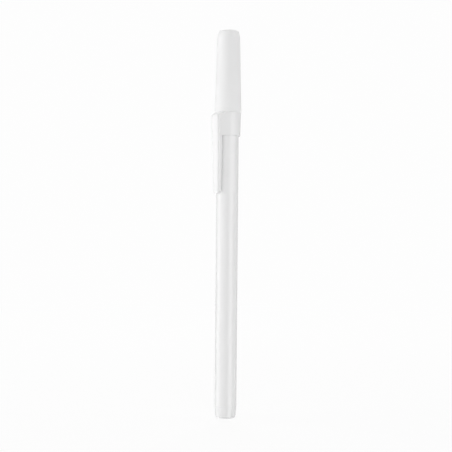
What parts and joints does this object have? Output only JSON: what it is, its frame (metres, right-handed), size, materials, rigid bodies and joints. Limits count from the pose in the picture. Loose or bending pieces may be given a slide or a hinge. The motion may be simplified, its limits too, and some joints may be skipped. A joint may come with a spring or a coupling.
{
  "type": "capped stick ballpoint pen",
  "caption": "Slim round stick ballpoint pen in white plastic, with a tapered push-on cap, a moulded pocket clip and a metal ball point.",
  "frame": {"origin": "on the pen's axis, in the flat end face of the tail", "axes": "+Z along the pen's axis from the tail to the closed end of the cap, -Y the way the clip faces, +X to the right of the clip seen from in front of it with the cap up"},
  "size_m": [0.0104, 0.012, 0.149],
  "materials": {
    "plug_plastic": "smooth moulded white plastic",
    "barrel_plastic": "polished moulded white plastic",
    "tube_plastic": "cloudy extruded plastic",
    "ink": "thick black oil ink",
    "holder_plastic": "smooth moulded white plastic",
    "point_brass": "fine turned brass",
    "ball_metal": "lapped hard metal",
    "cap_plastic": "moulded white plastic, matt on the cone and glossy on the collar and clip"
  },
  "bodies": {
    "pen": {"barrel": "barrel_plastic", "tail_plug": "plug_plastic", "ink_tube": "tube_plastic", "ink_charge": "ink", "tip_holder": "holder_plastic", "point_socket": "point_brass"},
    "cap": {"cap": "cap_plastic"},
    "ball": {"writing_ball": "ball_metal"}
  },
  "joints": [
    {"name": "cap_pull", "type": "slide", "parent": "pen", "child": "cap", "axis": [0, 0, 1], "range_m": [0, 0.05]},
    {"name": "ball_roll", "type": "hinge", "parent": "pen", "child": "ball", "pos_m": [0, 0, 0.142], "axis": [1, 0, 0], "continuous": true}
  ]
}
